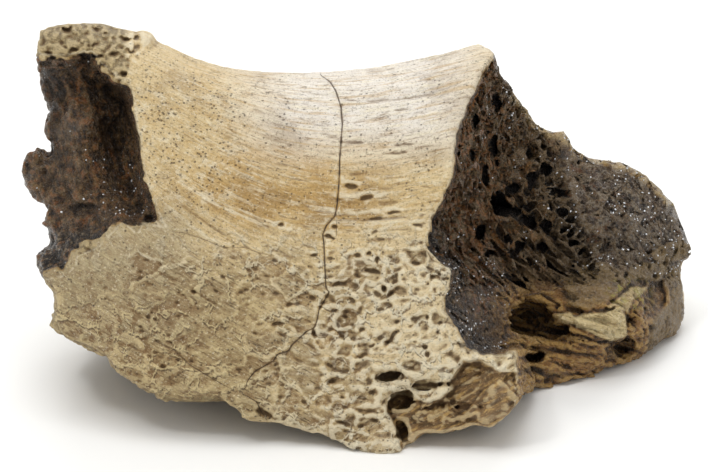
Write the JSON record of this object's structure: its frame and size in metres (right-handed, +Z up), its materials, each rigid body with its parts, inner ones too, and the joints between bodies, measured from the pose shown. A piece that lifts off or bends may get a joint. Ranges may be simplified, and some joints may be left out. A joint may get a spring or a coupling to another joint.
{
  "type": "fossil dinosaur bone section",
  "caption": "Broken section of fossil limb bone: a waisted shaft of tan weathered bone with dark spongy bone open at both broken ends, resting on its worn underside.",
  "frame": {"origin": "middle of the bounding box at the floor, where the worn underside rests", "axes": "+X along the shaft towards the larger broken end, +Y from the weathered front face to the back, +Z up"},
  "size_m": [0.105, 0.0618, 0.0547],
  "materials": {
    "fossil_bone": "weathered tan mineralised bone, satin, with dark brown spongy bone at the breaks"
  },
  "bodies": {
    "root": {"bone_section": "fossil_bone"}
  },
  "joints": []
}
